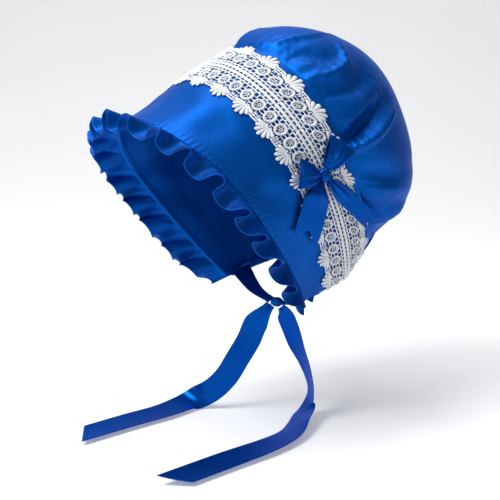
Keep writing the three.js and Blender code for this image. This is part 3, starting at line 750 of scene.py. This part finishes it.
def crown_flange(start, leave):
    """Rows of the crown's seam allowance, which lies on the brim under the lace, or hems the nape."""
    depth = np.concatenate([1 - EDGE_INSETS * CROWN_THICKNESS / FLANGE_DEPTH, [0.7, 0.45, 0.2, 0.05]])
    place = np.linspace(0, 1, CROWN_STEPS + 1)
    length = lerp(NAPE_HEM, FLANGE_DEPTH, smooth(1 - np.abs(2 * place - 1), 0, 0.06))
    seam = cloth(place, SEAM_ACROSS - depth[:, None] * length, FLANGE_HEIGHT)
    along = np.arange(1, NAPE_STEPS)
    nape = slice(-len(along), None)
    hem = -leave[nape] * NAPE_HEM * depth[:, None, None]
    corners = [seam[:, -1] - start[CROWN_STEPS], seam[:, 0] - start[0]]
    for corner, away in zip(corners, (along, NAPE_STEPS - along)):
        hem = lerp(corner[:, None], hem, smooth(away, 0, 8)[:, None])
    return np.concatenate([seam, start[nape] + hem], 1)


def fold_heights(points, place, rises):
    """How far every crown point moves out or in for the long folds."""
    height = np.zeros(points.shape[:2])
    seam_columns = np.flatnonzero(place <= 1)
    steps = np.linspace(0, 1, 40)
    for width, depth, route in CROWN_FOLDS:
        route = through(route, steps)
        column = np.interp(route[:, 0], place[seam_columns], seam_columns).round().astype(int)
        row = np.interp(route[:, 1], rises, np.arange(len(rises))).round().astype(int)
        distance = np.full(height.shape, np.inf)
        part = np.zeros(height.shape)
        for step, spot in zip(steps, points[row, column]):
            gap = np.linalg.norm(points - spot, axis=-1)
            part = np.where(gap < distance, step, part)
            distance = np.minimum(gap, distance)
        taper = np.sin(math.pi * np.clip(part * 0.9 + 0.06, 0, 1)) ** 0.7
        height += depth * bump(distance, width) * taper
    return height


def make_crown():
    rises = np.linspace(0, 1, CROWN_ROWS)
    start, leave, place, nape = crown_lines()
    bare = crown_bare(rises, start, leave, nape)
    normals = grid_normals(bare, ring=True)
    normals = normals * np.sign((normals * (bare - CROWN_INSIDE)).sum(-1, keepdims=True))
    rise = rises[:, None]
    gathers = 0.35 * (0.55 * np.sin(FULL_TURN * place * 47) + 0.4 * np.sin(FULL_TURN * place * 71 + 0.8)
                      + 0.5 * np.sin(FULL_TURN * place * 23 + 2))
    near = smooth(rise, 0.0, 0.05) * (1 - smooth(rise, 0.08, 0.34))
    soft = (0.9 * np.sin(FULL_TURN * (place * 5 + 0.6 * rise)) * smooth(rise, 0.2, 0.5)
            * (1 - smooth(rise, 0.85, 1)))
    height = fold_heights(bare, place, rises) * (1 - smooth(rise, 0.85, 0.98))
    height = height + near * gathers * np.where(place <= 1, 1.0, 0.35) + soft
    middle = bare + normals * (height * smooth(rise, 0, 0.03))[..., None]
    middle[-1] = middle[-1].mean(0)
    flange = crown_flange(start, leave)
    hem = np.linspace(-FLANGE_DEPTH / CROWN_RUN, 0, len(flange), endpoint=False)[:, None]
    down = np.concatenate([hem, rise])
    girth = CROWN_GIRTH * (1 - down)
    places = joined(place * girth, down * CROWN_RUN) / 1000
    crown = cloth_object("crown_cloth", np.concatenate([flange, middle]), CROWN_THICKNESS, SATIN, places,
                         ring=True, pole=True, fullness=lerp(0.5, 1, smooth(down * CROWN_RUN, -1, 3)))
    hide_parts("crown")


# Lace. It is drawn flat first: x along the band from a fan's middle, y across from the band's middle and
# z up from the cloth, for one fan at the rim side. The other half is its mirror.

CORD_EDGE, LADDER_CORD, LADDER_END, LADDER_RUNGS = 2.2, 6.1, 9.6, 6
RUNG_PITCH = FAN / LADDER_RUNGS
# The long cords: how far each lies from the middle, its radius and the sides of its thread
CORDS = [(2.4, 1.5, 8), (LADDER_CORD, 0.72, 6)]
RING_PLACE, RING_ALONG, RING_ACROSS, RING_SPOKES = 14.4, 4.5, 5.35, 6
# The bars between the rings, and the arcs between the fans: how far each lies from the middle, the half
# length of an arc, and the radius
RING_BARS = [(10.6, 0.5), (RING_PLACE, 0.6), (18.0, 0.5)]
FAN_ARCS = [(26.4, 4.9, 0.75), (23.9, 4.4, 0.5), (21.6, 3.0, 0.5)]
FAN_ROOT, FAN_HEART, FAN_PETALS, FAN_SPREAD = 20.2, 2.3, 7, 67
# A petal: how far it reaches along and across the band, and its radius at shares of that
PETAL_REACH, PETAL_START, PETAL_HEIGHT = (10.4, 13.7), 1.6, 1.1
PETAL_SHARES = np.array([0, 0.1, 0.3, 0.5, 0.7, 0.82, 0.91, 0.97, 1.0])
PETAL_RADII = np.array([0.35, 0.6, 0.95, 1.28, 1.58, 1.66, 1.5, 1.05, 0.45])


def ring_path(centre, along, across, steps, height):
    """A ring of the lace, a little narrower on the side of the fans."""
    turn = FULL_TURN * np.arange(steps) / steps
    narrow = 1 - 0.12 * np.cos(turn)
    return joined(centre[0] + along * narrow * np.sin(turn), centre[1] + across * np.cos(turn), height)


def petal(parts, angle):
    """One worked petal of a fan: padded, narrow at the fan's root and round at its tip."""
    turn = math.radians(angle)
    x, y = math.sin(turn), math.cos(turn)
    tip = 1 / math.hypot(x / PETAL_REACH[0], y / PETAL_REACH[1])
    reach = lerp(PETAL_START, tip, PETAL_SHARES)
    parts.add_tube(joined(x * reach, FAN_ROOT + y * reach, PETAL_HEIGHT), PETAL_RADII, 10, flat=0.62)


def ring(ground, side):
    """A padded ring with a lining thread and a small hub, held by spokes."""
    centre = np.array([side * FAN / 4, RING_PLACE])
    ground.add_tube(ring_path(centre, RING_ALONG, RING_ACROSS, 26, 1.15), 0.98, 7, flat=0.85, closed=True)
    ground.add_tube(ring_path(centre, RING_ALONG - 1.3, RING_ACROSS - 1.4, 18, 0.9), 0.36, 5, closed=True)
    hub = centre + np.array([0.3 * side, -0.5])
    for k in range(RING_SPOKES):
        turn = math.radians(360 / RING_SPOKES * k + 14 * side)
        out = centre + np.array([3.6 * math.sin(turn), 4.3 * math.cos(turn)])
        start = hub + 0.7 * np.array([math.sin(turn + 1.0), math.cos(turn + 1.0)])
        ground.add_bar(start, out, 0.3, 0.85, rise=0.25)
    ground.add_tube(ring_path(hub, 1.2, 1.5, 10, 0.95), 0.34, 5, closed=True)


def fan_half():
    """The threads of one fan on one side of the band."""
    ground, petals = Parts(), Parts()
    along = np.linspace(-FAN / 2, FAN / 2, 13)
    for across, radius, sides in CORDS:
        ground.add_tube(joined(along, across, 0.95), radius, sides, flat=0.66)
    half = RUNG_PITCH / 2
    for k in range(LADDER_RUNGS):
        x = RUNG_PITCH * (k + 0.5) - FAN / 2
        ground.add_bar((x, CORD_EDGE), (x, LADDER_CORD), 0.72, 0.8, sides=6, flat=0.6)
        ground.add_bar((x - half, LADDER_CORD), (x - half * 0.9, LADDER_END), 0.66, 0.8, sides=6, flat=0.6)
    for side in (-1, 1):
        ring(ground, side)
        edge = side * FAN / 2
        for across, reach, radius in FAN_ARCS:
            bow = np.linspace(-1, 1, 9)
            bow = bow[bow <= 0] if side > 0 else bow[bow >= 0]
            ground.add_tube(joined(edge + bow * reach, across + 0.5 * (1 - bow ** 2), 1.0), radius, 6)
        for offset in (1.5, 3.4):
            x = edge - side * offset
            ground.add_bar((x, FAN_ROOT - 0.15 * offset), (x, FAN_ARCS[0][0]), 0.42, 0.9, steps=4)
        for x, width in ((edge, -side * 2.6), (0, side * 2.6)):
            for across, radius in RING_BARS:
                slant = 0.9 * (across - RING_PLACE) / 3.6
                start = (x + width * (1 + 0.25 * abs(slant)), across - 0.4 * slant)
                ground.add_bar(start, (x, across), radius, 0.95)
    ground.add_bar((0, RING_BARS[-1][0]), (0, FAN_ROOT + 1), 0.55, 0.95)
    turn = np.radians(np.linspace(-100, 100, 11))
    ground.add_tube(joined(FAN_HEART * np.sin(turn), FAN_ROOT + FAN_HEART * np.cos(turn), 1.0), 0.7, 6)
    for angle in np.linspace(-FAN_SPREAD, FAN_SPREAD, FAN_PETALS):
        petal(petals, angle)
    return ground, petals


def middle_rungs():
    parts = Parts()
    for k in range(LADDER_RUNGS):
        x = RUNG_PITCH * k - FAN / 2
        parts.add_bar((x, -CORD_EDGE), (x, CORD_EDGE), 0.74, 0.85, sides=6, flat=0.6)
    return parts


def repeat_over_band(pattern, both_sides=True):
    """The pattern of one fan repeated over the band, and mirrored to its other side."""
    repeated = Parts()
    points, faces, places = pattern.whole()
    for fan in range(LACE_FANS):
        shifted = points + np.array([FAN * (fan + 0.5), 0, 0])
        repeated.add(shifted, faces[:, ::-1], places)
        if both_sides:
            repeated.add(shifted * np.array([1, -1, 1]), faces, places)
    return repeated


def on_band(points):
    """The flat lace laid on the brim. Towards the crown it lies on the crown's seam allowance."""
    over_flange = 2 * FLANGE_HEIGHT * smooth(points[:, 1], 19, 24)
    return cloth(points[:, 0] / BAND_LENGTH, points[:, 1], points[:, 2] + over_flange)


def make_lace():
    ground, petals = fan_half()
    cords = repeat_over_band(ground)
    cords.add(*repeat_over_band(middle_rungs(), both_sides=False).whole())
    net = cords.object("lace_ground", COTTON, on_band)
    fans = repeat_over_band(petals).object("lace_petals", COTTON, on_band)
    for piece in (net, fans):
        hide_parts("lace_band")


# Ribbons

def make_ribbon(node, middle, width, length, **sheet):
    """A ribbon from a grid of points: rows along its length and columns across its width."""
    rows, columns = middle.shape[:2]
    across = np.linspace(-1, 1, columns)
    selvedge = 1 + 0.5 * bump((1 - np.abs(across)) * width / 2 - 0.9, 0.55)
    along = np.linspace(0, length, rows)
    places = joined(along[:, None], across * width / 2) / 1000
    ribbon = cloth_object(f"{node}_ribbon", middle, RIBBON_THICKNESS, RIBBON, places, fullness=selvedge)
    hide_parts(node)
    length / 1000
    width / 1000


def ribbon_columns(width):
    """Places across a ribbon from -1 to 1, closer together where its selvedges round over."""
    return hemmed_steps(21, width, RIBBON_THICKNESS) * 2 - 1


BOW_COLUMNS, TIE_COLUMNS = ribbon_columns(BOW_RIBBON), ribbon_columns(TIE_RIBBON)


def make_knot(node, place, axes, sizes, creases, lean=0.0):
    """A knot of ribbon. Its wraps run round the first of its axes, and lean slants them."""
    width, length, height = sizes
    aside, under, normal = axes
    rounds, columns = 48, 25
    turn = FULL_TURN * np.arange(rounds) / rounds
    share = np.linspace(-1, 1, columns)
    swell = 1 - np.abs(share) ** 3.2 * 0.42
    for spot, depth, size in creases:
        swell = swell - depth * bump(share - spot, size)
    ends = np.ones(columns)
    ends[[0, -1]] = 0.0
    ends[[1, -2]] = 0.75
    radius = swell * ends
    side = share * width / 2
    side[[0, -1]] = side[[1, -2]] * 0.9
    x = side + lean * np.sin(turn)[:, None] * ends
    y = np.cos(turn)[:, None] * radius * length / 2
    z = np.sin(turn)[:, None] * radius * height / 2
    points = place + aside * x[..., None] + under * y[..., None] + normal * z[..., None]
    index = np.arange(rounds * columns).reshape(rounds, columns)
    index[:, 0] = index[0, 0]
    index[:, -1] = index[0, -1]
    faces = grid_faces(np.concatenate([index, index[:1]]))
    places = joined(turn[:, None] * length / 2, side).reshape(-1, 2) / 1000
    knot = add_object(f"{node}_wrap", points.reshape(-1, 3), faces, RIBBON, places)
    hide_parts(node)


def bow_frame():
    """The bow's seat and its own directions: aside towards the face, under down the band, and out."""
    line = {label: value[0] for label, value in band_lines(np.array([BOW_PLACE])).items()}
    seat = cloth(BOW_PLACE, -BOW_AHEAD, LACE_TOP + SEAM_GAP)
    normal = unit(line["front_normal"] + line["back_normal"])
    down = line["tangent"]
    forward = unit(np.cross(down, normal))
    tilt = math.radians(BOW_TILT)
    aside = forward * math.cos(tilt) - down * math.sin(tilt)
    return seat, aside, unit(np.cross(normal, aside)), normal


# Square metres of cloth for each square millimetre of a loop's flat ribbon, which narrows at the knot
LOOP_AREA = 0.78e-6


def make_bow_loop(node, side, spread, stretch):
    seat, aside, under, normal = bow_frame()
    spread = math.radians(spread)
    loop_length = BOW_LOOP_LENGTH * stretch
    way = aside * side * math.cos(spread) - under * math.sin(spread)
    across_way = aside * side * math.sin(spread) + under * math.cos(spread)
    turn = FULL_TURN * np.linspace(0.033, 0.967, 90)
    out = (1 - np.cos(turn)) / 2
    swell = lerp(0.5, 1, smooth(out, 0, 0.5))
    run = lerp(BOW_KNOT[0] / 2 + 2 * SEAM_GAP, loop_length, out)
    rise = 1 + BOW_LOOP_HEIGHT / 2 * (1 - swell * np.sin(turn))
    width = lerp(BOW_KNOT[1] * 0.6, BOW_RIBBON, out ** 0.9)
    crease = (1.3 * np.cos(2.5 * math.pi * BOW_COLUMNS + 0.4)
              * ((1 - out) ** 1.3 * smooth(out, 0.01, 0.15))[:, None])
    over = smooth(rise, 1, 1 + BOW_LOOP_HEIGHT)[:, None]
    shut = 0.62 * (rise[:, None] - 1) * smooth(-BOW_COLUMNS, -0.2, 1)
    points = (seat + way * run[:, None, None] + normal * (rise[:, None] + crease * over - shut)[..., None]
              + across_way * (width[:, None] / 2 * BOW_COLUMNS)[..., None])
    make_ribbon(node, points, BOW_RIBBON, 2 * loop_length, held="folded", rests_on=["lace_ground"],
                area=2 * loop_length * BOW_RIBBON * LOOP_AREA)


# spread is the turn in degrees of a loop up from the bow's own width, stretch the share of its length
BOW_LOOPS = [
    dict(node="bow_front_loop", side=1, spread=26, stretch=0.86),
    dict(node="bow_back_loop", side=-1, spread=38, stretch=1.08),
]

# heading is the turn in degrees from straight down the bow towards the face, stretch the share of the
# tail's length, root the start as a share of the knot, lift how far the end stands off, slant how far
# its front corner runs on and puff how far the ribbon bellies out below the knot.
BOW_TAILS = [
    dict(node="bow_front_tail", heading=26, stretch=1.12, root=0.46, lift=1.0, slant=-3, puff=5.0),
    dict(node="bow_back_tail", heading=-46, stretch=1.10, root=0.38, lift=3.0, slant=2, puff=1.6),
]


def make_bow_tail(node, heading, stretch, root, lift, slant, puff):
    turn = math.radians(heading + BOW_TILT)
    down, ahead = math.cos(turn), math.sin(turn)
    length = BOW_TAIL_LENGTH * stretch
    rest = LACE_TOP + SEAM_GAP + 1.0
    out = hemmed_steps(60, length, RIBBON_THICKNESS)[:, None]
    side = BOW_COLUMNS
    half = lerp(BOW_KNOT[1] * 0.6, BOW_RIBBON, smooth(out, 0, 0.35)) / 2
    cut = (side * slant - BOW_NOTCH * (1 - np.abs(side))) * smooth(out, 0.55, 1)
    reach = BOW_KNOT[1] * root + out * length + cut
    sunk = reach * down - side * half * ahead
    forward = BOW_AHEAD + reach * ahead + side * half * down
    over_crown = np.maximum(0, -forward - SEAM_ACROSS) * CROWN_SWELL
    crease = 1.0 * np.cos(2.5 * math.pi * side) * bump(out, 0.30) * smooth(out, 0.0, 0.05)
    belly = puff * (1 - side ** 2) * bump(out - 0.24, 0.16)
    height = (rest + over_crown + 1.0 * np.sin(math.pi * out) + lift * smooth(out, 0.3, 1) + crease + belly
              + 0.35 * side * np.sin(FULL_TURN * out))
    points = cloth(BOW_PLACE + sunk / BAND_LENGTH, -forward, height)
    make_ribbon(node, points, BOW_RIBBON, length, held="laid", rests_on=["lace_ground"], area=0.00125)


def make_bow():
    seat, *axes = bow_frame()
    creases = [(-0.32, 0.13, 0.10), (0.36, 0.10, 0.09)]
    make_knot("bow_knot", seat + axes[2] * BOW_KNOT[2] / 2, axes, BOW_KNOT, creases)
    for loop in BOW_LOOPS:
        make_bow_loop(**loop)
    for tail in BOW_TAILS:
        make_bow_tail(**tail)


# Routes of the tie ends from the knot to their cut ends: how far each point lies aside in shares of
# TAIL_SPREAD, ahead in shares of TAIL_REACH and down in shares of TAIL_DROP, then the plan angle of the
# ribbon's width there and its slope.
RIGHT_TAIL = [
    (0.00, 0.00, 0.00, 56, 37),
    (-0.10, 0.06, 0.18, 56, 32),
    (-0.16, 0.09, 0.35, 56, 27),
    (-0.25, 0.13, 0.53, 56, 31),
    (-0.37, 0.17, 0.73, 54, 38),
    (-0.50, 0.23, 0.88, 46, 40),
    (-0.65, 0.32, 0.98, 22, 22),
    (-0.57, 0.50, 1.00, 3, 12),
    (-0.50, 0.72, 1.00, 0, 11),
    (-0.39, 1.01, 1.00, 0, 10),
]
LEFT_TAIL = [
    (0.00, 0.00, 0.00, 14, 0),
    (0.05, -0.01, 0.06, 14, 0),
    (0.11, -0.03, 0.20, 12, 0),
    (0.17, -0.05, 0.37, 5, 0),
    (0.23, -0.08, 0.54, -8, 0),
    (0.28, -0.10, 0.72, -20, 0),
    (0.29, -0.10, 0.85, -24, 0),
    (0.32, -0.06, 0.95, -10, -10),
    (0.52, 0.05, 0.98, 30, -20),
    (0.76, 0.19, 1.00, 28, -4),
    (0.91, 0.37, 1.00, 18, 6),
    (1.02, 0.63, 1.00, 11, 12),
    (1.16, 0.96, 1.00, 9, 12),
]


# Square metres of cloth for each millimetre of a tie, which narrows at the knot
TIE_AREA = 0.0000165
TIE_CREASES = [(-0.4, 0.14, 0.12), (0.15, 0.12, 0.10), (0.55, 0.10, 0.10)]
RIGHT_TAIL_LEAVES, LEFT_TAIL_LEAVES = np.array([-0.7, -0.95, -0.55]), np.array([0.6, 0.4, -1])


def hang_ribbon(node, centre, across, width, relief, cut=np.zeros((1, 1)), **sheet):
    """A tie ribbon along a line of points, with across as the way of its width. relief is how far its
    points stand off, and cut how far they run on."""
    onward = unit(np.gradient(centre, axis=0))
    across = unit(across - onward * (across * onward).sum(-1, keepdims=True))
    cup = np.cross(across, onward)
    points = (centre[:, None] + across[:, None] * (width[:, None] / 2 * TIE_COLUMNS)[..., None]
              + cup[:, None] * relief[..., None] + onward[:, None] * cut[..., None])
    make_ribbon(node, points, TIE_RIBBON, path_length(centre), held="hung", **sheet)


def make_tail(node, table, knot_place, leaves, slant):
    start = knot_place + leaves * TIE_KNOT[1] / 2 + unit(leaves) * SEAM_GAP
    ground = knot_place[2] - TAIL_DROP
    route = [(start[0] + aside * TAIL_SPREAD, start[1] - ahead * TAIL_REACH, lerp(start[2], ground, drop))
             for aside, ahead, drop in (row[:3] for row in table)]
    steps = hemmed_steps(150, 230, RIBBON_THICKNESS)
    facing, tilt = np.radians(through([row[3:] for row in table], steps)).T
    across = joined(np.cos(facing) * np.cos(tilt), np.sin(facing) * np.cos(tilt), -np.sin(tilt))
    width = lerp(TIE_KNOT[1], TIE_RIBBON, smooth(steps, 0, 0.12))
    gather = 0.8 * np.cos(FULL_TURN * TIE_COLUMNS) * bump(steps, 0.05)[:, None]
    hang_ribbon(node, through(route, steps), across, width, 0.7 * (1 - TIE_COLUMNS ** 2) + gather,
                cut=slant * smooth(steps, 0.93, 1)[:, None] * TIE_COLUMNS, rests_on=["tie_knot_wrap"])


def make_tie(node, knot_place, side):
    corner = rulings(np.array([1.0]))
    root_across = TIE_ROOT_BACK - float(corner["length"][0])
    inside = -BRIM_THICKNESS - SEAM_GAP - 1.0
    half_fan = FAN / 2 / BAND_LENGTH
    mirror = np.array([side, 1, 1])
    root = [cloth(1 - above * half_fan, root_across, inside - 0.5 + above) * mirror
            for above in (0.5, 0.25, 0.0)]
    end = knot_place + np.array([side * (TIE_KNOT[0] / 2 + SEAM_GAP + 0.5), 0, 0])
    sag = lerp(root[2], end, np.array([0.5, 0.6, 0.75]))
    steps = hemmed_steps(60, 60, RIBBON_THICKNESS)
    centre = through([*root, sag, end], steps)
    along_brim = -corner["forward"][0] * mirror
    across = lerp(along_brim, np.array([0, 1, 0.25]), smooth(steps, 0.3, 1)[:, None])
    width = lerp(TIE_RIBBON, TIE_KNOT[1], smooth(steps, 0.3, 1))
    crease = 0.5 * np.cos(FULL_TURN * TIE_COLUMNS) * smooth(steps, 0.5, 0.95)[:, None]
    hang_ribbon(node, centre, across, width, crease, rests_on=["brim_cloth"],
                area=path_length(centre) * TIE_AREA)


def make_ties():
    corner = arch_points(RIM, 1.0)
    knot_place = np.array([TIE_KNOT_ASIDE, corner[1] - TIE_KNOT_AHEAD, corner[2] - TIE_KNOT_DROP])
    make_knot("tie_knot", knot_place, np.eye(3), TIE_KNOT, TIE_CREASES, lean=1.2)
    make_tie("tie_right", knot_place, -1)
    make_tie("tie_left", knot_place, 1)
    make_tail("tie_right_tail", RIGHT_TAIL, knot_place, RIGHT_TAIL_LEAVES, 9)
    make_tail("tie_left_tail", LEFT_TAIL, knot_place, LEFT_TAIL_LEAVES, -9)


make_camera()
make_studio()
make_brim()
make_rim_stitches()
make_ruffle()
make_crown()
make_lace()
make_bow()
make_ties()
